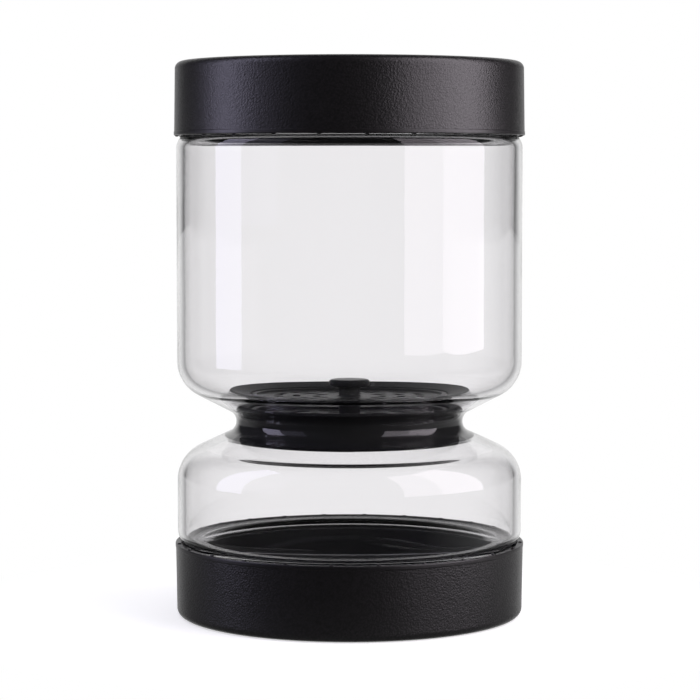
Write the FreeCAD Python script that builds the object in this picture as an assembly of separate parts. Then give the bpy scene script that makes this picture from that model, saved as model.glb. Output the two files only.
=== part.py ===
# Hourglass food keeper: a clear waisted jar, open at both ends, with a strainer in its waist.
# Millimetres. +Z is up and the origin is the middle of the underside of the lower lid, on which the
# keeper stands. It is turned over in use, so the two lids are the same and either end can be the base.

import FreeCAD
import Part

import math
import os

Vector = FreeCAD.Vector
UP = Vector(0, 0, 1)
ORIGIN = Vector(0, 0, 0)
FULL_TURN = 360.0
SAME_PLACE = 1e-6            # points closer than this are one point
CUT_PAST = 1.0               # how far a cutter reaches past the faces that it cuts

# Overall sizes
total_height = 166.0
lid_outer_radius = 52.5
lid_height = 22.0

# Jar
lid_overhang = 0.7           # how far the lid stands out past the jar's side
wall = 2.3
shoulder_tuck = 1.6          # how far the flat of the shoulder lies inside the lid's edge
shoulder_rounding = 5.5
neck_root_rounding = 1.0
chamber_rounding = 11.0      # where the straight walls turn in towards the waist
waist_radius = 34.1
waist_height = 58.4
waist_rounding = 3.7
upper_slope = 27.4           # degrees above the horizontal, from the waist up
lower_slope = 24.6           # degrees below the horizontal, from the waist down
rim_rounding = 1.05

# Lid cover
cover_top = 1.5
cover_wall = 1.8
cover_rounding = 2.2
cover_draft = 0.3            # how much narrower the cover is at its closed end
rim_band_height = 1.2
rim_band_proud = 0.12
edge_rounding = 0.3

# Retaining ribs inside the cover, which hold the liner in, and pips on the cover's edge
retainer_count = 24
retainer_width = 1.1
retainer_proud = 0.55
retainer_height = 1.6
retainer_gap = 0.2           # between the ribs and the liner's edge
pip_width = 1.3
pip_proud = 0.35
pip_inset = 0.35             # from each face of the cover's wall
first_pip = 5.6              # degrees

# Liner of the lid, which holds its thread
liner_top = 1.3
liner_skirt = 1.6
thread_room = 1.65           # between the neck and the liner, for the threads of both
liner_space = 2.45           # between the liner's skirt and the cover's wall
liner_clearance = 1.3        # between the liner's edge and the shoulder of the jar
liner_flange = 1.2
liner_fit = 0.12             # gap between the liner's flange and the cover's wall
stiffener_count = 12
stiffener_width = 1.4
seal_ring_wall = 1.2         # ring on the liner's underside that keeps the seal in place
seal_ring_depth = 0.7        # less than the seal is thick, so that the ring stays clear of the rim

# Seal
seal_thickness = 1.8
seal_inset = 1.2             # how far the seal reaches inside the jar's rim

# Strainer collar, a soft ring that grips the waist
collar_lip = 1.0
collar_reach = 2.7           # how far the lips of the collar reach out past the narrowest of the waist
collar_thickness = 1.5       # between the waist and the bore of the collar
collar_squeeze = 0.1         # how much larger the relaxed collar is than the waist
collar_mouth_height = 4.4    # top of the bore above the waist
collar_ledge = 2.8
collar_ledge_height = 0.4    # top of the ledge above the waist
collar_foot_height = 4.2     # bottom of the bore below the waist
collar_rounding = 0.5

# Strainer
strainer_gap = 0.3           # between the strainer's rim and the collar's bore
strainer_floor = 1.8
strainer_rim_height = 3.4
strainer_rim = 1.5
slot_width = 2.6
slot_bridge = 3.4            # material left between two slots of a ring
slot_pitch = 11.4            # from slot to slot along a ring
ring_pitch = 5.8             # from one ring of slots to the next
ring_margin = 6.3            # from the outer ring to the rim
knob_stem_radius = 3.2
knob_head_radius = 6.2
knob_height = 9.5
knob_head = 3.2
knob_root_rounding = 1.6
knob_head_rounding = 1.2

# Levels that follow from the sizes above
lid_stack = cover_top + liner_top + seal_thickness
rim_top = total_height - lid_stack
shoulder_height = lid_height - shoulder_tuck
shoulder_top = total_height - shoulder_height
liner_edge = shoulder_top + liner_clearance
cover_edge = total_height - lid_height

# Radii that follow from the sizes above, from the lid's side inwards
body_radius = lid_outer_radius - lid_overhang
cover_inner_radius = lid_outer_radius - cover_wall
liner_outer_radius = cover_inner_radius - liner_space
liner_inner_radius = liner_outer_radius - liner_skirt
neck_radius = liner_inner_radius - thread_room
collar_lip_radius = waist_radius + collar_reach
collar_bore = waist_radius - wall - collar_thickness


def unit(degrees):
    """Direction in the (r, z) plane at an angle above the horizontal."""
    angle = math.radians(degrees)
    return math.cos(angle), math.sin(angle)


def meeting_point(point_a, way_a, point_b, way_b):
    """Where two lines of the (r, z) plane cross."""
    cross = way_a[0] * way_b[1] - way_a[1] * way_b[0]
    gap_r = point_b[0] - point_a[0]
    gap_z = point_b[1] - point_a[1]
    along = (gap_r * way_b[1] - gap_z * way_b[0]) / cross
    return point_a[0] + along * way_a[0], point_a[1] + along * way_a[1]


def rounded_edges(corners, closed=True):
    """Lines and tangent arcs through corners given as (r, z, rounding), in the XZ plane."""
    points = [Vector(r, 0, z) for r, z, rounding in corners]
    count = len(points)
    entries, exits, middles = [], [], []
    for i, (r, z, rounding) in enumerate(corners):
        here = points[i]
        if rounding <= 0 or (not closed and i in (0, count - 1)):
            entries.append(here)
            exits.append(here)
            middles.append(None)
            continue
        back = (points[i - 1] - here).normalize()
        ahead = (points[(i + 1) % count] - here).normalize()
        half_angle = back.getAngle(ahead) / 2
        setback = rounding / math.tan(half_angle)
        bisector = (back + ahead).normalize()
        reach = rounding / math.sin(half_angle) - rounding
        entries.append(here + back * setback)
        exits.append(here + ahead * setback)
        middles.append(here + bisector * reach)
    edges = []
    for i in range(count):
        if middles[i] is not None:
            edges.append(Part.Arc(entries[i], middles[i], exits[i]).toShape())
        if closed or i < count - 1:
            start, end = exits[i], entries[(i + 1) % count]
            if start.distanceToPoint(end) > SAME_PLACE:
                edges.append(Part.LineSegment(start, end).toShape())
    return edges


def turned(corners):
    """A solid turned about the Z axis from a closed outline of (r, z, rounding)."""
    face = Part.Face(Part.Wire(rounded_edges(corners)))
    return face.revolve(ORIGIN, UP, FULL_TURN)


def offset_outline(corners, distance):
    """An open outline moved inwards by a distance, with its roundings kept concentric."""
    lines = []
    for (r_a, z_a, _), (r_b, z_b, _) in zip(corners, corners[1:]):
        length = math.hypot(r_b - r_a, z_b - z_a)
        way = ((r_b - r_a) / length, (z_b - z_a) / length)
        inward = (way[1] * distance, -way[0] * distance)
        lines.append(((r_a + inward[0], z_a + inward[1]), way))
    first = (lines[0][0][0], lines[0][0][1], 0)
    moved = [first]
    for (point_a, way_a), (point_b, way_b), corner in zip(lines, lines[1:], corners[1:]):
        r, z = meeting_point(point_a, way_a, point_b, way_b)
        turn = way_a[0] * way_b[1] - way_a[1] * way_b[0]
        grow = distance if turn > 0 else -distance
        moved.append((r, z, max(corner[2] + grow, 0)))
    moved.append((lines[-1][0][0], corners[-1][1], 0))
    return moved


def turned_over(shape):
    """The same shape at the other end of the keeper."""
    copy = shape.copy()
    copy.rotate(ORIGIN, Vector(1, 0, 0), 180)
    copy.translate(Vector(0, 0, total_height))
    return copy


def round_the_axis(shape, count, first=0.0):
    """Copies of a shape, evenly spaced round the Z axis."""
    copies = []
    for i in range(count):
        copy = shape.copy()
        copy.rotate(ORIGIN, UP, first + i * FULL_TURN / count)
        copies.append(copy)
    return copies


def waist_lines():
    """The two sloping lines of the jar's outside that meet at the waist, each as a point and a way."""
    centre_r = waist_radius + waist_rounding
    up_way = unit(upper_slope)
    down_way = unit(-lower_slope)
    upper = (centre_r - waist_rounding * up_way[1], waist_height + waist_rounding * up_way[0])
    lower = (centre_r + waist_rounding * down_way[1], waist_height - waist_rounding * down_way[0])
    return (upper, up_way), (lower, down_way)


def jar_outside():
    """Outline of the jar's outside, from the upper rim down to the lower rim."""
    (upper, up_way), (lower, down_way) = waist_lines()
    waist_r, waist_z = meeting_point(upper, up_way, lower, down_way)
    upper_z = meeting_point(upper, up_way, (body_radius, 0), (0, 1))[1]
    lower_z = meeting_point(lower, down_way, (body_radius, 0), (0, 1))[1]
    return [
        (neck_radius, rim_top, 0),
        (neck_radius, shoulder_top, neck_root_rounding),
        (body_radius, shoulder_top, shoulder_rounding),
        (body_radius, upper_z, chamber_rounding),
        (waist_r, waist_z, waist_rounding),
        (body_radius, lower_z, chamber_rounding),
        (body_radius, shoulder_height, shoulder_rounding),
        (neck_radius, shoulder_height, neck_root_rounding),
        (neck_radius, lid_stack, 0),
    ]


def make_jar():
    """The clear jar in one piece: two chambers, the waist between them and a neck at each end."""
    outside = jar_outside()
    inside = offset_outline(outside, wall)
    rims = []
    for r, z, _ in (outside[-1], inside[-1]):
        rims.append((r, z, rim_rounding))
    tops = []
    for r, z, _ in (inside[0], outside[0]):
        tops.append((r, z, rim_rounding))
    corners = tops[1:] + outside[1:-1] + rims + inside[-2:0:-1] + tops[:1]
    return turned(corners)


def make_lid_cover():
    """The upper lid's outer shell, with the ribs at its edge that hold the liner."""
    top = total_height
    edge = cover_edge
    side_radius = lid_outer_radius - rim_band_proud
    corners = [
        (0, top, 0),
        (side_radius - cover_draft, top, cover_rounding),
        (side_radius, edge + rim_band_height, 0),
        (lid_outer_radius, edge + rim_band_height, 0),
        (lid_outer_radius, edge, edge_rounding),
        (cover_inner_radius, edge, edge_rounding),
        (cover_inner_radius, top - cover_top, edge_rounding),
        (0, top - cover_top, 0),
    ]
    shell = turned(corners)
    rib_base = liner_edge - retainer_gap - retainer_height
    rib = Part.makeBox(
        retainer_proud + cover_wall / 2,
        retainer_width,
        retainer_height,
        Vector(cover_inner_radius - retainer_proud, -retainer_width / 2, rib_base),
    )
    pip = Part.makeBox(
        cover_wall - 2 * pip_inset,
        pip_width,
        pip_proud + cover_wall / 2,
        Vector(cover_inner_radius + pip_inset, -pip_width / 2, edge - pip_proud),
    )
    extras = round_the_axis(rib, retainer_count)
    extras += round_the_axis(pip, retainer_count, first_pip)
    return shell.fuse(extras).removeSplitter()


def make_lid_liner():
    """The upper lid's liner: a skirt, a flange at its edge and a ring that keeps the seal in place."""
    top = total_height - cover_top
    ceiling = top - liner_top
    edge = liner_edge
    flange_radius = cover_inner_radius - liner_fit
    keeper_outer = neck_radius - wall - seal_inset
    keeper_inner = keeper_outer - seal_ring_wall
    keeper_edge = ceiling - seal_ring_depth
    corners = [
        (0, top, 0),
        (flange_radius, top, edge_rounding),
        (flange_radius, ceiling, 0),
        (liner_outer_radius, ceiling, edge_rounding),
        (liner_outer_radius, edge + liner_flange, edge_rounding),
        (flange_radius, edge + liner_flange, 0),
        (flange_radius, edge, edge_rounding),
        (liner_inner_radius, edge, edge_rounding),
        (liner_inner_radius, ceiling, edge_rounding),
        (keeper_outer, ceiling, 0),
        (keeper_outer, keeper_edge, edge_rounding),
        (keeper_inner, keeper_edge, edge_rounding),
        (keeper_inner, ceiling, edge_rounding),
        (0, ceiling, 0),
    ]
    liner = turned(corners)
    stiffener = Part.makeBox(
        flange_radius - liner_outer_radius + liner_skirt / 2,
        stiffener_width,
        ceiling - edge,
        Vector(liner_outer_radius - liner_skirt / 2, -stiffener_width / 2, edge),
    )
    stiffener = stiffener.common(Part.makeCylinder(flange_radius, total_height))
    return liner.fuse(round_the_axis(stiffener, stiffener_count)).removeSplitter()


def make_seal():
    """The upper lid's sealing ring, flat between the liner and the jar's rim."""
    inner = neck_radius - wall - seal_inset
    outer = neck_radius
    corners = [
        (inner, rim_top, edge_rounding),
        (outer, rim_top, edge_rounding),
        (outer, rim_top + seal_thickness, edge_rounding),
        (inner, rim_top + seal_thickness, edge_rounding),
    ]
    return turned(corners)


def make_collar():
    """The soft ring in the waist: its outside is the waist's own shape and a ledge carries the strainer."""
    (upper, up_way), (lower, down_way) = waist_lines()
    grip = wall - collar_squeeze
    up_normal = (-up_way[1], up_way[0])
    down_normal = (down_way[1], -down_way[0])
    upper_face = (upper[0] + grip * up_normal[0], upper[1] + grip * up_normal[1])
    lower_face = (lower[0] + grip * down_normal[0], lower[1] + grip * down_normal[1])
    lip_line = ((collar_lip_radius, 0), (0, 1))
    upper_lip = meeting_point(upper_face, up_way, *lip_line)
    lower_lip = meeting_point(lower_face, down_way, *lip_line)
    corner = meeting_point(upper_face, up_way, lower_face, down_way)
    ledge = waist_height + collar_ledge_height
    mouth = waist_height + collar_mouth_height
    foot = waist_height - collar_foot_height
    upper_tip = (upper_lip[0] + collar_lip * up_normal[0], upper_lip[1] + collar_lip * up_normal[1])
    lower_tip = (lower_lip[0] + collar_lip * down_normal[0], lower_lip[1] + collar_lip * down_normal[1])
    corners = [
        (upper_lip[0], upper_lip[1], 0),
        (upper_tip[0], upper_tip[1], collar_rounding),
        (collar_bore, mouth, collar_rounding),
        (collar_bore, ledge, 0),
        (collar_bore - collar_ledge, ledge, collar_rounding),
        (collar_bore - collar_ledge, foot, collar_rounding),
        (lower_tip[0], lower_tip[1], collar_rounding),
        (lower_lip[0], lower_lip[1], 0),
        (corner[0], corner[1], waist_rounding + grip),
    ]
    return turned(corners)


def slot(radius, sweep):
    """A slot cutter along an arc of the strainer, with round ends."""
    base = waist_height + collar_ledge_height - CUT_PAST
    depth = strainer_floor + 2 * CUT_PAST
    half = slot_width / 2
    ring = Part.makeCylinder(radius + half, depth, Vector(0, 0, base), UP, sweep)
    ring = ring.cut(Part.makeCylinder(radius - half, depth, Vector(0, 0, base), UP, FULL_TURN))
    first_end = Part.makeCylinder(half, depth, Vector(radius, 0, base))
    last_end = first_end.copy()
    last_end.rotate(ORIGIN, UP, sweep)
    return ring.fuse([first_end, last_end]).removeSplitter()


def slot_pattern():
    """Rings of slots, from the outer ring in, for as long as they clear the root of the knob."""
    cutters = []
    radius = collar_bore - strainer_gap - strainer_rim - ring_margin
    while radius - slot_width / 2 > knob_stem_radius + knob_root_rounding + slot_bridge:
        count = round(2 * math.pi * radius / slot_pitch)
        pitch = FULL_TURN / count
        sweep = pitch - math.degrees((slot_bridge + slot_width) / radius)
        cutters += round_the_axis(slot(radius, sweep), count, pitch / 2 - sweep / 2)
        radius -= ring_pitch
    return cutters


def make_strainer():
    """The strainer: a slotted floor with a raised rim and a knob to lift it by."""
    floor = waist_height + collar_ledge_height
    rim_radius = collar_bore - strainer_gap
    knob_top = floor + strainer_floor + knob_height
    corners = [
        (0, floor, 0),
        (rim_radius, floor, edge_rounding),
        (rim_radius, floor + strainer_rim_height, edge_rounding),
        (rim_radius - strainer_rim, floor + strainer_rim_height, edge_rounding),
        (rim_radius - strainer_rim, floor + strainer_floor, edge_rounding),
        (knob_stem_radius, floor + strainer_floor, knob_root_rounding),
        (knob_stem_radius, knob_top - knob_head, knob_root_rounding),
        (knob_head_radius, knob_top - knob_head, knob_head_rounding),
        (knob_head_radius, knob_top, knob_head_rounding),
        (0, knob_top, 0),
    ]
    return turned(corners).cut(slot_pattern())


def export(shape, name):
    """One closed solid in one file, with its size in the log."""
    solids = shape.Solids
    whole = shape if len(solids) != 1 else solids[0]
    whole.exportStep(os.path.join("parts", name + ".step"))
    box = whole.optimalBoundingBox(False)
    print(
        f"{name}: {len(solids)} solid, valid {whole.isValid()}, {whole.Volume / 1000:.2f} cm3, "
        f"{len(whole.Faces)} faces, z {box.ZMin:.2f} to {box.ZMax:.2f}, width {box.XLength:.2f}"
    )


def main():
    os.makedirs("parts", exist_ok=True)
    export(make_jar(), "jar_body")
    lid = {
        "lid_cover": make_lid_cover(),
        "lid_liner": make_lid_liner(),
        "lid_seal": make_seal(),
    }
    for name, shape in lid.items():
        export(shape, "upper_" + name)
        export(turned_over(shape), "lower_" + name)
    export(make_collar(), "strainer_collar")
    export(make_strainer(), "strainer")


main()
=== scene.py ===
# %% [markdown]
# The object is a kitchen keeper that is turned over in use: a clear glass jar with a narrow waist,
# a screw lid at each end, and a strainer that sits in the waist. The construction is already there
# as a fixed frame of solids in metres. This lesson dresses that frame: it makes the pieces whose
# finish needs a better mesh than a solid gives, and gives every piece the material of the real one.
# Nothing is moved, because every piece is made where the frame has it.

# %% The fixed frame
import cmath
import math

import bmesh
import bpy
import numpy as np
from mathutils import Matrix, Vector


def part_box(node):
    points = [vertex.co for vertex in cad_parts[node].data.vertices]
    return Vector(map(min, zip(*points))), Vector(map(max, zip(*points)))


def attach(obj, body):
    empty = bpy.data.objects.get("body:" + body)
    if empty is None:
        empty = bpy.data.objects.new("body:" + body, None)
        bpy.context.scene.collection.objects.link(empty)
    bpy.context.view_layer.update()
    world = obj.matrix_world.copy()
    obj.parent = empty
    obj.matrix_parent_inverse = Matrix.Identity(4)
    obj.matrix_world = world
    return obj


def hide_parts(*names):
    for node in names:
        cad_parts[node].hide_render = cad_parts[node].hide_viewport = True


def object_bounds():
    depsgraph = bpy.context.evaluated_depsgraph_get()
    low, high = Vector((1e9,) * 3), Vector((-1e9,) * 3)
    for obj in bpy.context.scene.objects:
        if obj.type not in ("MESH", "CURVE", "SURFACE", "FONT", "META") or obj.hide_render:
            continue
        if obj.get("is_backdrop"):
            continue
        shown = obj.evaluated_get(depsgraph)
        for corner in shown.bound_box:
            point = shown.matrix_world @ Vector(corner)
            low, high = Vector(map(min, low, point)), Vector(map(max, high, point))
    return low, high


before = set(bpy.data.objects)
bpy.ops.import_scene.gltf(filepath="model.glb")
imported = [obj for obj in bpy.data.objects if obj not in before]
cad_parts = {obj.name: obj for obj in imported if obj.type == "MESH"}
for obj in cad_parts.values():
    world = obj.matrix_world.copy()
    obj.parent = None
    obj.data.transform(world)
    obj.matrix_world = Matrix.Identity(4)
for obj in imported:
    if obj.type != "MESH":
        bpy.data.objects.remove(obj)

cad_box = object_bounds()
print("nodes:", sorted(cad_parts))

# %% [markdown]
# Makers of jars and lids work in millimetres, so the sizes here are in millimetres too, and one
# value turns them into Blender's metres. What the frame already knows is read from its boxes, so
# these sizes can't drift away from the solids.

# %% Sizes that the frame gives
MM = 0.001
CM = 10 * MM


def reach(node):
    """Largest radius, lowest and highest level of a node, in millimetres."""
    low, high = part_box(node)
    return high.x / MM, low.z / MM, high.z / MM


# The pips stand out past the edge of a cover, and its box counts them in
pip_proud = 0.35
total_height = cad_box[1].z / MM
lid_radius, pip_edge, _ = reach("upper_lid_cover")
lid_edge = pip_edge + pip_proud
jar_radius, rim_bottom, rim_top = reach("jar_body")
neck_radius, _, _ = reach("upper_lid_seal")
lid_height = total_height - lid_edge
print(f"lid {2 * lid_radius:.1f} wide and {lid_height:.1f} high, whole {total_height:.1f} high")
print(f"jar {2 * jar_radius:.1f} wide, neck {2 * neck_radius:.1f} wide")
print(f"rims of the jar at {rim_bottom:.1f} and {rim_top:.1f}")

# %% [markdown]
# A box doesn't tell how thick a wall is or how round a corner is. These are the walls, slopes and
# roundings of the real pieces, the same as in the solids, and below them the screw thread, which
# the solids leave out. Most turned forms further down follow from these two cells.

# %% Sizes of the real pieces
glass_wall = 2.3
rim_rounding = 1.05
neck_root_rounding = 1.0
shoulder_tuck = 1.6
shoulder_rounding = 5.5
chamber_rounding = 11.0
waist_radius = 34.1
waist_height = 58.4
waist_rounding = 3.7
upper_slope = 27.4
lower_slope = 24.6

cover_top = 1.5
cover_wall = 1.8
cover_rounding = 2.2
cover_draft = 0.3
band_height = 1.2
band_proud = 0.12
edge_rounding = 0.3

thread_lead = 24.0
thread_starts = 4
thread_height = 1.3
thread_root = 2.6
thread_crest = 1.2

shoulder_bottom = lid_height - shoulder_tuck
shoulder_top = total_height - shoulder_bottom
cover_bore = lid_radius - cover_wall
print(f"waist {2 * waist_radius:.1f} wide at {waist_height:.1f}, glass {glass_wall:.1f} thick")
print(f"shoulders of the jar at {shoulder_bottom:.1f} and {shoulder_top:.1f}")

# %% [markdown]
# Turned pieces start from half of their section: a short list of corners, each with its rounding,
# as on a maker's drawing. Complex numbers suit a section well, because a turn is a multiplication.
# A straight stretch gets a support point near each end, so that smooth shading doesn't bend the
# light across the whole of it. In glass that would show at once as a false lens.

# %% Sections from corners and roundings
arc_step = 5.0
support = 0.4
same_place = 1e-6


def rounded(corners, closed=False):
    """Points along a section whose corners are (radius, level, rounding)."""
    points = []
    count = len(corners)
    for i, (r, z, rounding) in enumerate(corners):
        here = complex(r, z)
        if rounding == 0 or (not closed and i in (0, count - 1)):
            points.append(here)
            continue
        back = complex(*corners[i - 1][:2]) - here
        ahead = complex(*corners[(i + 1) % count][:2]) - here
        back, ahead = back / abs(back), ahead / abs(ahead)
        turn = cmath.phase(-ahead / back)
        half = (math.pi - abs(turn)) / 2
        centre = here + (back + ahead) / abs(back + ahead) * rounding / math.sin(half)
        start = here + back * rounding / math.tan(half) - centre
        steps = max(2, math.ceil(math.degrees(abs(turn)) / arc_step))
        points += [centre + start * cmath.exp(1j * turn * k / steps) for k in range(steps + 1)]
    return supported(points, closed)


def supported(points, closed):
    """The same section with a point near each end of every long straight stretch."""
    result = []
    following = points[1:] + (points[:1] if closed else points[-1:])
    for a, b in zip(points, following):
        gap = abs(b - a)
        if not result or abs(a - result[-1]) > same_place:
            result.append(a)
        if gap > 3 * support:
            way = (b - a) / gap
            result += [a + way * support, b - way * support]
    return result


def crossing(point_a, way_a, point_b, way_b):
    """Where two lines of a section cross."""
    along = ((point_b - point_a).conjugate() * way_b).imag / (way_a.conjugate() * way_b).imag
    return point_a + along * way_a


def inset(corners, distance):
    """A section moved inwards by a distance, with its roundings kept concentric."""
    lines = []
    for (r_a, z_a, _), (r_b, z_b, _) in zip(corners, corners[1:]):
        way = complex(r_b - r_a, z_b - z_a)
        way /= abs(way)
        lines.append((complex(r_a, z_a) - 1j * way * distance, way))
    moved = [(lines[0][0].real, corners[0][1], 0)]
    for (point_a, way_a), (point_b, way_b), corner in zip(lines, lines[1:], corners[1:]):
        point = crossing(point_a, way_a, point_b, way_b)
        left_turn = (way_a.conjugate() * way_b).imag > 0
        rounding = corner[2] + (distance if left_turn else -distance)
        moved.append((point.real, point.imag, max(rounding, 0)))
    moved.append((lines[-1][0].real, corners[-1][1], 0))
    return moved


sample = rounded([(0, 0, 0), (5, 0, 1), (5, 5, 0)])
print("points of a section with one rounded corner:", len(sample))

# %% [markdown]
# Every material and every tree below is made of nodes. One small function adds a node, sets its
# properties and fills its sockets, either with a value or with another node's output. Colours are
# written as sRGB hex, the way a designer picks them, and one function turns them linear.

# %% Helpers for nodes and colours
def add_node(tree, kind, sockets=None, **settings):
    """Adds a node. Each entry of sockets is a value or an output to link from."""
    node = tree.nodes.new(kind)
    for name, value in settings.items():
        setattr(node, name, value)
    for name, value in (sockets or {}).items():
        if isinstance(value, bpy.types.NodeSocket):
            tree.links.new(value, node.inputs[name])
        else:
            node.inputs[name].default_value = value
    return node


def colour(hex_code):
    """Linear colour with alpha from a hex code such as 1A2B3C."""
    channels = [int(hex_code[i:i + 2], 16) / 255 for i in (0, 2, 4)]
    return (*(c / 12.92 if c <= 0.04045 else ((c + 0.055) / 1.055) ** 2.4 for c in channels), 1.0)


def new_material(name):
    """An empty node material with its output node."""
    material = bpy.data.materials.new(name)
    material.use_nodes = True
    material.node_tree.nodes.clear()
    return material, add_node(material.node_tree, "ShaderNodeOutputMaterial")


def object_position(tree):
    """The place on the piece, in metres."""
    return add_node(tree, "ShaderNodeTexCoord").outputs["Object"]


def per_mm(size):
    """Scale of a texture whose features are a size in millimetres apart."""
    return 1 / (size * MM)


print("linear value of the middle grey 808080:", round(colour("808080")[0], 3))

# %% [markdown]
# The jar is clear glass, blown in a mould: bright and smooth inside and out, a little uneven in
# thickness. To the eye that means sharp reflections, a view straight through its walls and darker
# lines where the wall is seen edge on. Absorption inside the wall makes those lines, so it is set
# as a volume and not painted. Very long, faint waves in the surface are what a mould leaves. Glass
# would block the lamps for whatever is inside, so shadow rays pass straight through.

# %% Blown glass
glass_wave = 24.0
glass_wave_height = 0.2
absorption = 16.0


def blown_clear_glass():
    """Clear container glass."""
    material, output = new_material("blown_clear_glass")
    tree = material.node_tree
    wave = add_node(tree, "ShaderNodeTexNoise", {
        "Vector": object_position(tree), "Scale": per_mm(glass_wave), "Detail": 1.0})
    bump = add_node(tree, "ShaderNodeBump", {
        "Height": wave.outputs["Fac"], "Strength": 0.25, "Distance": glass_wave_height * MM})
    glass = add_node(tree, "ShaderNodeBsdfPrincipled", {
        "Base Color": colour("FFFEFF"), "Roughness": 0.0, "IOR": 1.47,
        "Transmission Weight": 1.0, "Normal": bump.outputs["Normal"]})
    path = add_node(tree, "ShaderNodeLightPath")
    open_way = add_node(tree, "ShaderNodeBsdfTransparent", {"Color": colour("F4F6F5")})
    mix = add_node(tree, "ShaderNodeMixShader", {
        "Fac": path.outputs["Is Shadow Ray"],
        1: glass.outputs["BSDF"], 2: open_way.outputs["BSDF"]})
    depth = add_node(tree, "ShaderNodeVolumeAbsorption", {
        "Color": colour("A2A7AB"), "Density": absorption})
    tree.links.new(mix.outputs["Shader"], output.inputs["Surface"])
    tree.links.new(depth.outputs["Volume"], output.inputs["Volume"])
    return material


jar_glass = blown_clear_glass()
print("material:", jar_glass.name)

# %% [markdown]
# The covers are black polypropylene, injection moulded in an etched tool that leaves a leather
# grain: small raised cells with fine valleys between them. To the eye that breaks a highlight up
# into a soft, grainy band. The grain comes from cells a little over half a millimetre wide, bent by
# noise so that no two are alike, with finer pores on top. Each level is turned a little further
# round the axis, which gives the grain its slant. The tops of the cells are smoother than the
# valleys. Painted shade makes the valleys darker and the tops a touch lighter, so the grain also
# shows where no lamp is mirrored. The narrow band at the edge isn't etched, so there the relief
# fades out with the level.

# %% Grained polypropylene
grain_cell = 0.58
grain_length = 1.0
grain_slant = 0.3
grain_bend = 1.3
grain_sway = 0.25
grain_height = 0.056
pore_size = 0.35
pore_share = 0.35
smooth_top, rough_valley = 0.27, 0.39
valley_shade_from, valley_shade_to = 0.3, 0.9
band_fade = 0.1


def grained_black_polypropylene(name, band_from, band_to):
    """Black lid plastic whose relief grows from one level to another, in millimetres."""
    material, output = new_material(name)
    tree = material.node_tree
    place = object_position(tree)
    level = add_node(tree, "ShaderNodeSeparateXYZ", {"Vector": place})
    bend = add_node(tree, "ShaderNodeTexNoise", {
        "Vector": place, "Scale": per_mm(grain_bend), "Detail": 2.0})
    shift = add_node(tree, "ShaderNodeVectorMath", {
        0: bend.outputs["Color"], 1: (0.5, 0.5, 0.5)}, operation="SUBTRACT")
    sized = add_node(tree, "ShaderNodeVectorMath", {
        0: shift.outputs["Vector"], "Scale": grain_sway * MM}, operation="SCALE")
    bent = add_node(tree, "ShaderNodeVectorMath", {
        0: place, 1: sized.outputs["Vector"]}, operation="ADD")
    slant = add_node(tree, "ShaderNodeMath", {
        0: level.outputs["Z"], 1: -grain_slant / (lid_radius * MM)}, operation="MULTIPLY")
    slanted = add_node(tree, "ShaderNodeVectorRotate", {
        "Vector": bent.outputs["Vector"], "Angle": slant.outputs["Value"]}, rotation_type="Z_AXIS")
    drawn = add_node(tree, "ShaderNodeVectorMath", {
        0: slanted.outputs["Vector"], 1: (1.0, 1.0, 1 / grain_length)}, operation="MULTIPLY")
    cells = add_node(tree, "ShaderNodeTexVoronoi", {
        "Vector": drawn.outputs["Vector"], "Scale": per_mm(grain_cell), "Randomness": 1.0},
        feature="F1")
    pores = add_node(tree, "ShaderNodeTexNoise", {
        "Vector": place, "Scale": per_mm(pore_size), "Detail": 2.0})
    height = add_node(tree, "ShaderNodeMath", {
        0: pores.outputs["Fac"], 1: pore_share, 2: cells.outputs["Distance"]},
        operation="MULTIPLY_ADD")
    etched = add_node(tree, "ShaderNodeMapRange", {
        "Value": level.outputs["Z"], "From Min": band_from * MM, "From Max": band_to * MM})
    depth = add_node(tree, "ShaderNodeMath", {
        0: height.outputs["Value"], 1: etched.outputs["Result"]}, operation="MULTIPLY")
    bump = add_node(tree, "ShaderNodeBump", {
        "Height": depth.outputs["Value"], "Strength": 1.0, "Distance": grain_height * MM},
        invert=True)
    polish = add_node(tree, "ShaderNodeMapRange", {
        "Value": height.outputs["Value"], "To Min": smooth_top, "To Max": rough_valley})
    # Painted shade: the valleys of the grain are coloured darker than the tops, which are coloured
    # lighter.
    valley_shade = add_node(tree, "ShaderNodeMapRange", {
        "Value": height.outputs["Value"], "From Min": valley_shade_from, "From Max": valley_shade_to})
    shaded_tone = add_node(tree, "ShaderNodeMix", {
        0: valley_shade.outputs["Result"], 6: colour("151215"), 7: colour("020102")}, data_type="RGBA")
    plastic = add_node(tree, "ShaderNodeBsdfPrincipled", {
        "Base Color": shaded_tone.outputs[2], "Roughness": polish.outputs["Result"], "IOR": 1.58,
        "Normal": bump.outputs["Normal"]})
    tree.links.new(plastic.outputs["BSDF"], output.inputs["Surface"])
    return material


upper_band = lid_edge + band_height
lower_band = lid_height - band_height
upper_grain = grained_black_polypropylene(
    "grained_black_polypropylene_upper", upper_band - band_fade, upper_band + band_fade)
lower_grain = grained_black_polypropylene(
    "grained_black_polypropylene_lower", lower_band + band_fade, lower_band - band_fade)
print("materials:", upper_grain.name, lower_grain.name)

# %% [markdown]
# The other pieces are plainer. The liners and the strainer are black polypropylene too, but satin
# and not grained, because they have to wash clean: to the eye a calm, slightly rippled sheen. The
# collar and the seals are silicone rubber: soft, so their highlight is wide and dull, with the fine
# dusty haze that silicone gets.

# %% Smooth plastic and silicone
ripple_height = 0.05
polish_spread = 0.06
dust_size = 1.1
dust_height = 0.03
haze_size = 9.0


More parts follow.
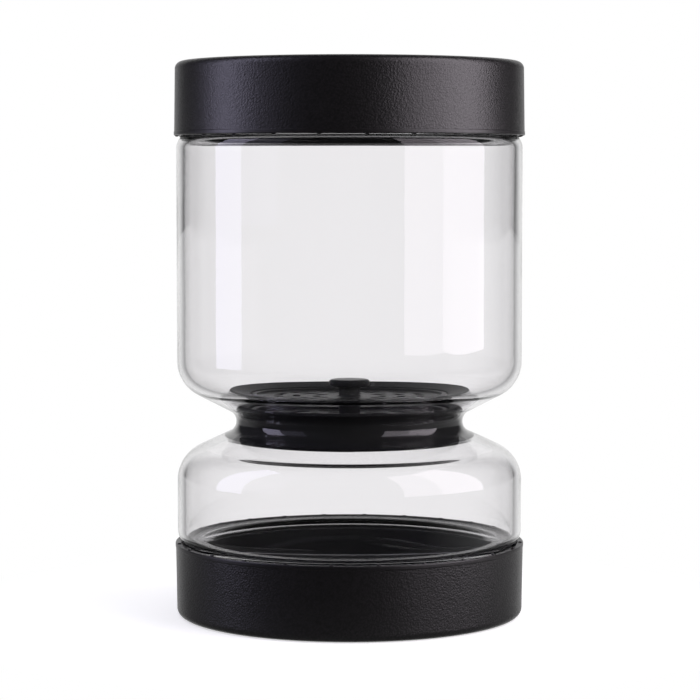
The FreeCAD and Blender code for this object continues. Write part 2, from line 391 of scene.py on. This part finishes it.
def moulded_plastic(name, hex_code, roughness, ior, ripple):
    """Injection moulded plastic with the slight ripple of a cooled surface."""
    material, output = new_material(name)
    tree = material.node_tree
    place = object_position(tree)
    noise = add_node(tree, "ShaderNodeTexNoise", {
        "Vector": place, "Scale": per_mm(ripple), "Detail": 3.0})
    bump = add_node(tree, "ShaderNodeBump", {
        "Height": noise.outputs["Fac"], "Strength": 0.4, "Distance": ripple_height * MM})
    polish = add_node(tree, "ShaderNodeMapRange", {
        "Value": noise.outputs["Fac"],
        "To Min": roughness - polish_spread, "To Max": roughness + polish_spread})
    plastic = add_node(tree, "ShaderNodeBsdfPrincipled", {
        "Base Color": colour(hex_code), "Roughness": polish.outputs["Result"], "IOR": ior,
        "Normal": bump.outputs["Normal"]})
    tree.links.new(plastic.outputs["BSDF"], output.inputs["Surface"])
    return material


def silicone_rubber(name, hex_code, haze):
    """Moulded silicone with a dusty haze."""
    material, output = new_material(name)
    tree = material.node_tree
    place = object_position(tree)
    dust = add_node(tree, "ShaderNodeTexNoise", {
        "Vector": place, "Scale": per_mm(dust_size), "Detail": 5.0})
    patches = add_node(tree, "ShaderNodeTexNoise", {
        "Vector": place, "Scale": per_mm(haze_size), "Detail": 2.0})
    skin = add_node(tree, "ShaderNodeMix", {
        0: patches.outputs["Fac"], 6: colour(hex_code), 7: colour(haze)}, data_type="RGBA")
    bump = add_node(tree, "ShaderNodeBump", {
        "Height": dust.outputs["Fac"], "Strength": 0.3, "Distance": dust_height * MM})
    rubber = add_node(tree, "ShaderNodeBsdfPrincipled", {
        "Base Color": skin.outputs[2], "Roughness": 0.5, "IOR": 1.41,
        "Normal": bump.outputs["Normal"]})
    tree.links.new(rubber.outputs["BSDF"], output.inputs["Surface"])
    return material


liner_plastic = moulded_plastic("satin_black_polypropylene_liner", "101012", 0.38, 1.49, 6.0)
strainer_plastic = moulded_plastic("satin_black_polypropylene_strainer", "121214", 0.32, 1.49, 5.0)
collar_silicone = silicone_rubber("black_silicone_rubber", "0B0B0C", "141416")
seal_silicone = silicone_rubber("grey_silicone_rubber", "8C8C8C", "A0A0A0")
for material in (liner_plastic, strainer_plastic, collar_silicone, seal_silicone):
    print("material:", material.name)

# %% [markdown]
# The jar and the covers are turned shapes: one section carried once round the axis. Blender has a
# Spin tool and a Screw modifier for that. Geometry Nodes do it here, because the section stays a
# readable list and the tree takes it with any number of steps. The tree sweeps the section along a
# circle. Its X is then the distance from that circle and its Y points down, so the section is laid
# out that way first. Points on the axis fall together, and merging them closes the pole.

# %% A tree that turns a section round the axis
guide_radius = 30.0
merge_distance = 0.001
turning_steps = 192


def new_tree(name, sizes):
    """A geometry tree with named inputs; returns it and the outputs of its input node."""
    tree = bpy.data.node_groups.new(name, "GeometryNodeTree")
    tree.interface.new_socket("Start", in_out="INPUT", socket_type="NodeSocketGeometry")
    for label, kind in sizes.items():
        tree.interface.new_socket(label, in_out="INPUT", socket_type="NodeSocket" + kind)
    tree.interface.new_socket("Material", in_out="INPUT", socket_type="NodeSocketMaterial")
    tree.interface.new_socket("Result", in_out="OUTPUT", socket_type="NodeSocketGeometry")
    return tree, add_node(tree, "NodeGroupInput").outputs


def end_tree(tree, geometry, material):
    """Ends a tree with real geometry in one material."""
    real = add_node(tree, "GeometryNodeRealizeInstances", {"Geometry": geometry})
    finish = add_node(tree, "GeometryNodeSetMaterial", {
        "Geometry": real.outputs["Geometry"], "Material": material})
    add_node(tree, "NodeGroupOutput", {"Result": finish.outputs["Geometry"]})


def turning_tree():
    """Carries a section round the axis."""
    tree, given = new_tree("turned_piece", {"Steps": "Int", "Guide radius": "Float"})
    section = add_node(tree, "GeometryNodeMeshToCurve", {"Mesh": given["Start"]})
    guide = add_node(tree, "GeometryNodeCurvePrimitiveCircle", {
        "Resolution": given["Steps"], "Radius": given["Guide radius"]}, mode="RADIUS")
    swept = add_node(tree, "GeometryNodeCurveToMesh", {
        "Curve": guide.outputs["Curve"], "Profile Curve": section.outputs["Curve"]})
    closed = add_node(tree, "GeometryNodeMergeByDistance", {
        "Geometry": swept.outputs["Mesh"], "Distance": merge_distance * MM})
    smooth = add_node(tree, "GeometryNodeSetShadeSmooth", {
        "Geometry": closed.outputs["Geometry"], "Shade Smooth": True})
    end_tree(tree, smooth.outputs["Geometry"], given["Material"])
    return tree


def run_tree(tree, name, start, values):
    """Runs a tree on a mesh and keeps the result as a plain mesh object."""
    piece = bpy.data.objects.new(name, start)
    bpy.context.scene.collection.objects.link(piece)
    modifier = piece.modifiers.new("nodes", "NODES")
    modifier.node_group = tree
    for item in tree.interface.items_tree:
        if item.name in values:
            modifier[item.identifier] = values[item.name]
    evaluated = piece.evaluated_get(bpy.context.evaluated_depsgraph_get())
    mesh = bpy.data.meshes.new_from_object(evaluated)
    piece.modifiers.remove(modifier)
    piece.data = mesh
    mesh.name = name
    return piece


def describe(piece):
    """Prints what a piece measures. A volume above zero shows that its faces point outwards."""
    form = bmesh.new()
    form.from_mesh(piece.data)
    volume = form.calc_volume(signed=True)
    loose = sum(1 for edge in form.edges if not edge.is_manifold)
    triangles = sum(len(face.verts) - 2 for face in form.faces)
    form.free()
    print(f"{piece.name}: {triangles} triangles, {loose} open edges, {volume / CM**3:.2f} cm3")


turning = turning_tree()


def turned_piece(name, points, material, closed=False):
    """A turned piece from the points of its section, in millimetres."""
    section = bpy.data.meshes.new(name + "_section")
    count = len(points)
    places = [((p.real - guide_radius) * MM, -p.imag * MM, 0) for p in points]
    edges = [(i, (i + 1) % count) for i in range(count if closed else count - 1)]
    section.from_pydata(places, edges, [])
    return run_tree(turning, name, section, {
        "Steps": turning_steps, "Guide radius": guide_radius * MM, "Material": material})


print("tree:", turning.name, "with", len(turning.nodes), "nodes")

# %% [markdown]
# Both chambers, the waist and both necks are one wall of glass, so the inside of the section is the
# outside moved in by the wall, with concentric roundings. The slopes run off the waist at the
# angles of the mould. The rims are fire polished, which rounds them almost fully.

# %% The section of the jar
ring_step = 0.35
rings_from = shoulder_top + 2.6
rings_to = rim_top - 3.0


def leaving(angle):
    """Direction at an angle above the horizontal."""
    return cmath.exp(1j * math.radians(angle))


def jar_outside():
    """Outside of the jar from the upper rim down to the lower rim."""
    centre = complex(waist_radius + waist_rounding, waist_height)
    up, down = leaving(upper_slope), leaving(-lower_slope)
    upper, lower = centre + 1j * up * waist_rounding, centre - 1j * down * waist_rounding
    waist = crossing(upper, up, lower, down)
    upper_turn = crossing(upper, up, complex(jar_radius), 1j)
    lower_turn = crossing(lower, down, complex(jar_radius), 1j)
    return [
        (neck_radius, rim_top, 0),
        (neck_radius, shoulder_top, neck_root_rounding),
        (jar_radius, shoulder_top, shoulder_rounding),
        (jar_radius, upper_turn.imag, chamber_rounding),
        (waist.real, waist.imag, waist_rounding),
        (jar_radius, lower_turn.imag, chamber_rounding),
        (jar_radius, shoulder_bottom, shoulder_rounding),
        (neck_radius, shoulder_bottom, neck_root_rounding),
        (neck_radius, rim_bottom, 0),
    ]


# Rings of points on both necks, which the threads are raised from
upper_rings = [(neck_radius, float(z), 0) for z in np.arange(rings_to, rings_from, -ring_step)]
lower_rings = [(r, total_height - z, 0) for r, z, _ in reversed(upper_rings)]

outside = jar_outside()
inside = inset(outside, glass_wall)
inner_neck = inside[0][0]
jar_corners = [(neck_radius, rim_top, rim_rounding)] + upper_rings + outside[1:-1] + lower_rings
jar_corners += [(neck_radius, rim_bottom, rim_rounding), (inner_neck, rim_bottom, rim_rounding)]
jar_corners += inside[-2:0:-1] + [(inner_neck, rim_top, rim_rounding)]
jar = turned_piece("glass_jar", rounded(jar_corners, closed=True), jar_glass, closed=True)
describe(jar)

# %% [markdown]
# The screw thread on a blown neck isn't a separate piece: the glass itself stands out in four low,
# round ridges, each about a fifth of a turn long, which fade out at both ends. So the rings of the
# neck are moved outwards where a ridge passes. The lower neck has the same thread turned over.

# %% Threads in the glass
jar_thread_start = 6.0
jar_thread_span = 76.0
jar_thread_level = shoulder_top + 4.6
run_out = 11.0
wall_tolerance = 0.05


def smooth_step(x):
    """Rises from 0 to 1 with a soft start and end."""
    x = np.clip(x, 0, 1)
    return x * x * (3 - 2 * x)


def ridge_height(angle, level):
    """How far a ridge stands out at an angle in degrees and a level, for the upper neck."""
    along = np.mod(angle, 360 / thread_starts) - jar_thread_start
    middle = jar_thread_level + thread_lead * along / 360
    across = (thread_root / 2 - np.abs(level - middle)) / ((thread_root - thread_crest) / 2)
    ends = np.minimum(along, jar_thread_span - along) / run_out
    return thread_height * smooth_step(across) * smooth_step(ends)


def raise_threads(piece):
    """Moves the outside of both necks outwards where the ridges pass."""
    count = len(piece.data.vertices)
    places = np.empty(count * 3)
    piece.data.vertices.foreach_get("co", places)
    places = places.reshape(count, 3)
    x, y, z = (places / MM).T
    radius = np.hypot(x, y)
    on_neck = np.abs(radius - neck_radius) < wall_tolerance
    upper = on_neck & (z > shoulder_top)
    lower = on_neck & (z < shoulder_bottom)
    rise = np.zeros(count)
    rise[upper] = ridge_height(np.degrees(np.arctan2(y, x)), z)[upper]
    rise[lower] = ridge_height(np.degrees(np.arctan2(-y, x)), total_height - z)[lower]
    places[:, :2] *= (1 + rise / np.maximum(radius, 1))[:, None]
    piece.data.vertices.foreach_set("co", places.ravel())
    piece.data.update()
    return rise.max()


print(f"jar threads stand out {raise_threads(jar):.2f} mm")

# %% [markdown]
# A cover is a shallow cup with a drafted side, so that it left its mould, a large rounding at the
# closed end and a narrow band at the edge. The second cover is the same piece at the other end of
# the keeper, so its mesh is a copy turned over.

# %% The covers
def turned_over(piece, name, material):
    """The same piece at the other end of the keeper."""
    mesh = piece.data.copy()
    mesh.transform(Matrix.Translation((0, 0, total_height * MM)) @ Matrix.Rotation(math.pi, 4, "X"))
    mesh.materials.clear()
    mesh.materials.append(material)
    copy = bpy.data.objects.new(name, mesh)
    mesh.name = name
    bpy.context.scene.collection.objects.link(copy)
    return copy


band_soft = 0.08
side_radius = lid_radius - band_proud
cover_corners = [
    (0, total_height, 0),
    (side_radius - cover_draft, total_height, cover_rounding),
    (side_radius, upper_band + band_soft, band_soft),
    (lid_radius, upper_band, band_soft),
    (lid_radius, lid_edge, edge_rounding),
    (cover_bore, lid_edge, edge_rounding),
    (cover_bore, total_height - cover_top, edge_rounding),
    (0, total_height - cover_top, 0),
]
upper_cover = turned_piece("upper_cover_shell", rounded(cover_corners), upper_grain)
lower_cover = turned_over(upper_cover, "lower_cover_shell", lower_grain)
describe(upper_cover)
describe(lower_cover)

# %% [markdown]
# Inside a cover, a ring of small ribs holds the liner in, and on its edge a ring of pips keeps the
# lid from sticking to the jar's shoulder. Both repeat evenly round the axis, so one tree sets
# copies of a single rounded block round it. The block is made once, in mesh code.

# %% Rings of ribs and pips
ring_count = 24
first_pip = 5.6
rib_width, rib_proud, rib_height, rib_rounding = 1.1, 0.55, 1.6, 0.2
pip_width, pip_inset, pip_rounding = 1.3, 0.35, 0.3
liner_clearance = 1.3
rib_gap = 0.2


def block(name, low, high, rounding):
    """A block between two corners in millimetres, with rounded edges."""
    mesh = bpy.data.meshes.new(name)
    form = bmesh.new()
    bmesh.ops.create_cube(form, size=1)
    for vertex in form.verts:
        place = [(a + b) / 2 + c * (b - a) for a, b, c in zip(low, high, vertex.co)]
        vertex.co = Vector(place) * MM
    bmesh.ops.bevel(
        form, geom=form.edges[:], offset=rounding * MM, segments=2, profile=0.5, affect="EDGES")
    form.to_mesh(mesh)
    form.free()
    return mesh


def copies_round_axis(tree, piece, count, first_angle):
    """Adds the nodes that repeat a piece evenly round the axis; returns the copies."""
    points = add_node(tree, "GeometryNodePoints", {"Count": count})
    index = add_node(tree, "GeometryNodeInputIndex")
    step = add_node(tree, "ShaderNodeMath", {0: math.tau, 1: count}, operation="DIVIDE")
    angle = add_node(tree, "ShaderNodeMath", {
        0: index.outputs["Index"], 1: step.outputs["Value"], 2: first_angle},
        operation="MULTIPLY_ADD")
    turn = add_node(tree, "ShaderNodeCombineXYZ", {"Z": angle.outputs["Value"]})
    copies = add_node(tree, "GeometryNodeInstanceOnPoints", {
        "Points": points.outputs["Points"], "Instance": piece, "Rotation": turn.outputs["Vector"]})
    return copies.outputs["Instances"]


def ring_tree():
    """Sets copies of a piece round the axis."""
    tree, given = new_tree("ring_of_copies", {"Count": "Int", "First angle": "Float"})
    copies = copies_round_axis(tree, given["Start"], given["Count"], given["First angle"])
    end_tree(tree, copies, given["Material"])
    return tree


ring = ring_tree()


def ring_of(name, mesh, first, material):
    """A full ring of copies of a block, the first at an angle in degrees."""
    return run_tree(ring, name, mesh, {
        "Count": ring_count, "First angle": math.radians(first), "Material": material})


rib_low = shoulder_top + liner_clearance - rib_gap - rib_height
rib = block(
    "rib", (cover_bore - rib_proud, -rib_width / 2, rib_low),
    (cover_bore + cover_wall / 2, rib_width / 2, rib_low + rib_height), rib_rounding)
pip = block(
    "pip", (cover_bore + pip_inset, -pip_width / 2, pip_edge),
    (lid_radius - pip_inset, pip_width / 2, lid_edge + cover_wall / 2), pip_rounding)
upper_ribs = ring_of("upper_cover_ribs", rib, 0.0, upper_grain)
upper_pips = ring_of("upper_cover_pips", pip, first_pip, upper_grain)
lower_ribs = turned_over(upper_ribs, "lower_cover_ribs", lower_grain)
lower_pips = turned_over(upper_pips, "lower_cover_pips", lower_grain)
describe(upper_ribs)
describe(upper_pips)

# %% [markdown]
# The liner's thread runs inside its skirt in four ridges of the same lead as the jar's. Each ridge
# follows a helix, so a tree sweeps its section along a spiral curve, lets it shrink at both ends
# and repeats it round the axis. The ridge is set a little into the skirt, as one moulding is.

# %% Threads of the liners
thread_room = 1.65
liner_bore = neck_radius + thread_room
ridge_sunk = 0.25
ridge_steps = 40
ridge_taper = 0.2
ridge_tip = 0.12
liner_thread_start = 21.0
liner_thread_span = 46.0
liner_thread_level = shoulder_top + 3.35


def thread_tree():
    """Sweeps a section along a helix and repeats it round the axis."""
    tree, given = new_tree("helical_ridges", {
        "Starts": "Int", "Steps": "Int", "Radius": "Float", "Turns": "Float", "Rise": "Float",
        "First angle": "Float", "Level": "Float"})
    section = add_node(tree, "GeometryNodeMeshToCurve", {"Mesh": given["Start"]})
    helix = add_node(tree, "GeometryNodeCurveSpiral", {
        "Resolution": given["Steps"], "Rotations": given["Turns"], "Start Radius": given["Radius"],
        "End Radius": given["Radius"], "Height": given["Rise"]})
    upright = add_node(tree, "GeometryNodeSetCurveNormal", {
        "Curve": helix.outputs["Curve"]}, mode="Z_UP")
    factor = add_node(tree, "GeometryNodeSplineParameter").outputs["Factor"]
    other = add_node(tree, "ShaderNodeMath", {0: 1.0, 1: factor}, operation="SUBTRACT")
    nearest = add_node(tree, "ShaderNodeMath", {
        0: factor, 1: other.outputs["Value"]}, operation="MINIMUM")
    taper = add_node(tree, "ShaderNodeMapRange", {
        "Value": nearest.outputs["Value"], "From Max": ridge_taper, "To Min": ridge_tip},
        interpolation_type="SMOOTHSTEP")
    swept = add_node(tree, "GeometryNodeCurveToMesh", {
        "Curve": upright.outputs["Curve"], "Profile Curve": section.outputs["Curve"],
        "Scale": taper.outputs["Result"], "Fill Caps": True})
    lift = add_node(tree, "ShaderNodeCombineXYZ", {"Z": given["Level"]})
    placed = add_node(tree, "GeometryNodeTransform", {
        "Geometry": swept.outputs["Mesh"], "Translation": lift.outputs["Vector"]})
    copies = copies_round_axis(
        tree, placed.outputs["Geometry"], given["Starts"], given["First angle"])
    end_tree(tree, copies, given["Material"])
    return tree


ridge_corners = [
    (-ridge_sunk, thread_root / 2), (-ridge_sunk, -thread_root / 2),
    (thread_height, -thread_crest / 2), (thread_height, thread_crest / 2)]
ridge = bpy.data.meshes.new("ridge_section")
ridge.from_pydata(
    [(-r * MM, z * MM, 0) for r, z in ridge_corners], [(0, 1), (1, 2), (2, 3), (3, 0)], [])
liner_thread_turns = liner_thread_span / 360
upper_thread = run_tree(thread_tree(), "upper_liner_thread", ridge, {
    "Starts": thread_starts, "Steps": ridge_steps, "Radius": liner_bore * MM,
    "Turns": liner_thread_turns, "Rise": thread_lead * liner_thread_turns * MM,
    "First angle": math.radians(liner_thread_start), "Level": liner_thread_level * MM,
    "Material": liner_plastic})
# This sweep leaves the faces pointing inwards, so they are turned round
upper_thread.data.flip_normals()
lower_thread = turned_over(upper_thread, "lower_liner_thread", liner_plastic)
describe(upper_thread)
describe(lower_thread)

# %% [markdown]
# The remaining pieces of the frame are already as round and as smooth as the real ones: the
# liners, the seals, the collar and the slotted strainer. They stay as they are and take their
# materials in place of the plain ones that they came with.

# %% Materials for the pieces that stay
def dress(node, material):
    """Gives a piece of the frame its material."""
    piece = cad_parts[node]
    for slot in piece.material_slots:
        slot.material = material
    print(node, "takes", material.name, "in", len(piece.material_slots), "slot")


for end in ("upper", "lower"):
    dress(end + "_lid_liner", liner_plastic)
    dress(end + "_lid_seal", seal_silicone)
dress("strainer_collar", collar_silicone)
dress("strainer", strainer_plastic)

# %% [markdown]
# Each new piece now moves with its body, and the solids that the new jar and covers take the place
# of are hidden. Sharp edges are marked by angle, so the steps of a section stay crisp while its
# roundings stay smooth. The ridges have flatter corners, so theirs are marked from a smaller angle.

# %% Pieces join the frame
sharp_from = 50
ridge_sharp_from = 30

for piece in (upper_cover, lower_cover, upper_ribs, lower_ribs, upper_pips, lower_pips):
    piece.data.set_sharp_from_angle(angle=math.radians(sharp_from))
for piece in (upper_thread, lower_thread):
    piece.data.set_sharp_from_angle(angle=math.radians(ridge_sharp_from))

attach(jar, "jar")
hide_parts("jar_body")
for end, cover, extras, thread in (
    ("upper", upper_cover, (upper_ribs, upper_pips), upper_thread),
    ("lower", lower_cover, (lower_ribs, lower_pips), lower_thread),
):
    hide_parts(end + "_lid_cover")
    for piece in (cover, *extras):
        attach(piece, end + "_lid")
    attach(thread, end + "_lid")
    print(end, "lid has", cover.name, "and", thread.name)

# %% [markdown]
# The keeper stands in a white studio with a dark front and dark sides. Glass shows mostly what is
# behind it, and that is white, straight on and through the jar. What the glass and the plastic
# mirror is another matter: a tall white backdrop stands only at the back, and the rest is nearly
# black. This difference draws the dark lines at the edges of the jar and keeps the lids black. So
# the surroundings and the floor both ask what kind of ray has reached them.

# %% Kinds of ray
def kinds_of_ray(tree):
    """Two switches: for rays that look, straight on or through glass, and for mirrored rays."""
    path = add_node(tree, "ShaderNodeLightPath")
    looks = add_node(tree, "ShaderNodeMath", {
        0: path.outputs["Is Camera Ray"], 1: path.outputs["Is Transmission Ray"]},
        operation="MAXIMUM")
    mirrored = add_node(tree, "ShaderNodeMath", {
        0: path.outputs["Glossy Depth"], 1: 0.5}, operation="GREATER_THAN")
    return looks.outputs["Value"], mirrored.outputs["Value"]


print("two switches ready: looks and mirrored")

# %% [markdown]
# The surroundings are one Background node whose strength depends on the ray: 1 is white for a ray
# that looks, and half of that serves as diffuse light. A mirrored ray finds the backdrop by its
# direction. Squashing the direction's height makes the backdrop taller than it is wide.

# %% Surroundings
diffuse_fill = 0.5
mirror_fill = 0.04
backdrop_strength = 0.85
backdrop_edge, backdrop_full = 0.8, 0.96
backdrop_squash = 0.4


def studio_world():
    """White for rays that look, dim for diffuse light, and by direction for mirrored rays."""
    world = bpy.data.worlds.new("studio")
    world.use_nodes = True
    tree = world.node_tree
    tree.nodes.clear()
    looks, mirrored = kinds_of_ray(tree)
    direction = add_node(tree, "ShaderNodeTexCoord").outputs["Generated"]
    squashed = add_node(tree, "ShaderNodeVectorMath", {
        0: direction, 1: (1.0, 1.0, backdrop_squash)}, operation="MULTIPLY")
    unit = add_node(tree, "ShaderNodeVectorMath", {
        0: squashed.outputs["Vector"]}, operation="NORMALIZE")
    way = add_node(tree, "ShaderNodeSeparateXYZ", {"Vector": unit.outputs["Vector"]})
    backdrop = add_node(tree, "ShaderNodeMapRange", {
        "Value": way.outputs["Y"], "From Min": backdrop_edge, "From Max": backdrop_full,
        "To Min": mirror_fill, "To Max": backdrop_strength}, interpolation_type="SMOOTHSTEP")
    plain = add_node(tree, "ShaderNodeMapRange", {
        "Value": looks, "To Min": diffuse_fill, "To Max": 1.0})
    strength = add_node(tree, "ShaderNodeMix", {
        0: mirrored, 2: plain.outputs["Result"], 3: backdrop.outputs["Result"]},
        data_type="FLOAT")
    background = add_node(tree, "ShaderNodeBackground", {
        "Color": colour("FFFFFF"), "Strength": strength.outputs[0]})
    add_node(tree, "ShaderNodeOutputWorld", {"Surface": background.outputs["Background"]})
    bpy.context.scene.world = world
    return world


surroundings = studio_world()
print("surroundings:", surroundings.name)

# %% [markdown]
# The floor is a matt, pale sheet that keeps a soft shadow. For rays that look, a glow lifts it
# towards white near the keeper, and further out it fades into plain white, so that no horizon
# shows. A mirrored ray finds only a faint glow on it, painted light which grows towards the back
# and the right, and passes through the sheet elsewhere. The covers and the undersides of the
# chambers mirror it.

# %% Floor
floor_size = 4.0
floor_level = -0.1
floor_lift = 0.52
shadow_reach = 130.0
glow_way = (0.35, 1.0, 0.0)
glow_from, glow_to = -120.0, 60.0
glow_strength = 0.3


def pale_floor_sheet():
    """Matt white sheet, lifted to white for rays that look, and a faint glow for mirrored rays."""
    material, output = new_material("matt_white_sheet")
    tree = material.node_tree
    place = object_position(tree)
    looks, mirrored = kinds_of_ray(tree)
    white = add_node(tree, "ShaderNodeEmission", {"Strength": 1.0})
    matt = add_node(tree, "ShaderNodeBsdfDiffuse", {"Color": colour("E6E6E6")})
    lift = add_node(tree, "ShaderNodeMath", {0: looks, 1: floor_lift}, operation="MULTIPLY")
    glow = add_node(tree, "ShaderNodeEmission", {"Strength": lift.outputs["Value"]})
    near = add_node(tree, "ShaderNodeAddShader", {
        0: matt.outputs["BSDF"], 1: glow.outputs["Emission"]})
    away = add_node(tree, "ShaderNodeVectorMath", {0: place}, operation="LENGTH")
    fade = add_node(tree, "ShaderNodeMapRange", {
        "Value": away.outputs["Value"],
        "From Min": lid_radius * MM, "From Max": shadow_reach * MM},
        interpolation_type="SMOOTHSTEP")
    far = add_node(tree, "ShaderNodeMath", {
        0: fade.outputs["Result"], 1: looks}, operation="MULTIPLY")
    sheet = add_node(tree, "ShaderNodeMixShader", {
        "Fac": far.outputs["Value"], 1: near.outputs["Shader"], 2: white.outputs["Emission"]})
    # Painted light: for mirrored rays the sheet glows brighter towards the back and the right.
    along = add_node(tree, "ShaderNodeVectorMath", {
        0: place, 1: glow_way}, operation="DOT_PRODUCT")
    lit = add_node(tree, "ShaderNodeMapRange", {
        "Value": along.outputs["Value"], "From Min": glow_from * MM, "From Max": glow_to * MM,
        "To Min": 0.0, "To Max": glow_strength})
    clear = add_node(tree, "ShaderNodeBsdfTransparent")
    mirror = add_node(tree, "ShaderNodeMixShader", {
        "Fac": lit.outputs["Result"], 1: clear.outputs["BSDF"], 2: white.outputs["Emission"]})
    mix = add_node(tree, "ShaderNodeMixShader", {
        "Fac": mirrored, 1: sheet.outputs["Shader"], 2: mirror.outputs["Shader"]})
    tree.links.new(mix.outputs["Shader"], output.inputs["Surface"])
    return material


square = ((-1, -1), (1, -1), (1, 1), (-1, 1))
floor_mesh = bpy.data.meshes.new("floor")
floor_mesh.from_pydata(
    [(x * floor_size, y * floor_size, floor_level * MM) for x, y in square], [], [(0, 1, 2, 3)])
floor_mesh.materials.append(pale_floor_sheet())
floor = bpy.data.objects.new("floor", floor_mesh)
bpy.context.scene.collection.objects.link(floor)
floor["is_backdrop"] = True
print(f"floor: {2 * floor_size:.0f} m square, {-floor_level:.1f} mm under the keeper")

# %% [markdown]
# Two upright softboxes light the keeper from the sides: a narrow, slightly blue one at the left and
# a wide one at the right. Each gives the long soft streak that the glass and the covers show. A
# softbox is brightest in its middle and spills towards the camera, so each has a dimmer panel on
# that side. A panel is set by the angles in degrees that it fills as seen from the keeper, measured
# from the camera round to the right, by its levels in metres, by its radiance and by its colour.
# Blender's power in watts follows from the radiance. No panel is seen through the glass, where it
# would print false patches on the far wall of the jar.

# %% Softboxes
lamp_distance = 0.9
softboxes = {
    "left_softbox": ((-96, -73), (0.0, 1.5), 3.2, "E4DFFF"),
    "left_softbox_spill": ((-73, -46), (0.1, 1.5), 0.5, "E4DFFF"),
    "right_softbox": ((62, 97), (0.02, 1.5), 3.7, "FFF5FF"),
    "right_softbox_spill": ((35, 62), (0.02, 1.5), 2.3, "FFF5FF"),
}


def softbox(name, azimuths, levels, radiance, hex_code):
    """A rectangular lamp that fills a range of angles and levels and faces the axis."""
    middle = math.radians(sum(azimuths) / 2)
    half_angle = math.radians((azimuths[1] - azimuths[0]) / 2)
    width = 2 * lamp_distance * math.tan(half_angle)
    height = levels[1] - levels[0]
    light = bpy.data.lights.new(name, "AREA")
    light.shape = "RECTANGLE"
    light.size, light.size_y = width, height
    light.color = colour(hex_code)[:3]
    light.energy = radiance * math.pi * width * height
    lamp = bpy.data.objects.new(name, light)
    lamp.location = (
        lamp_distance * math.sin(middle), -lamp_distance * math.cos(middle), sum(levels) / 2)
    lamp.rotation_euler = (math.pi / 2, 0, middle)
    lamp.visible_camera = False
    lamp.visible_transmission = False
    bpy.context.scene.collection.objects.link(lamp)
    print(f"{name}: {width:.2f} by {height:.2f} m, {light.energy:.1f} W")


for name, settings in softboxes.items():
    softbox(name, *settings)

# %% [markdown]
# The camera stands where the photograph was taken from: three quarters of a metre away, a little
# below the upper lid, looking slightly down through a long lens.

# %% Camera
camera_distance = 762.0
camera_height = 132.8
camera_side = 0.18
camera_pitch = 3.99
focal_length = 130.37

camera_data = bpy.data.cameras.new("camera")
camera_data.lens = focal_length
camera_data.sensor_width = 36.0
camera = bpy.data.objects.new("camera", camera_data)
camera.location = (camera_side * MM, -camera_distance * MM, camera_height * MM)
camera.rotation_euler = (math.radians(90 - camera_pitch), 0, 0)
bpy.context.scene.collection.objects.link(camera)
bpy.context.scene.camera = camera
bpy.context.scene.view_settings.view_transform = "Standard"
print("camera ready")

# %% [markdown]
# The dressed keeper must stay inside the box of its solids, so both boxes are printed for
# comparison.

# %% Boxes and finish
visual_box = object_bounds()
for label, (low, high) in (("solids", cad_box), ("dressed", visual_box)):
    print(label, [round(v / MM, 2) for v in low], [round(v / MM, 2) for v in high])
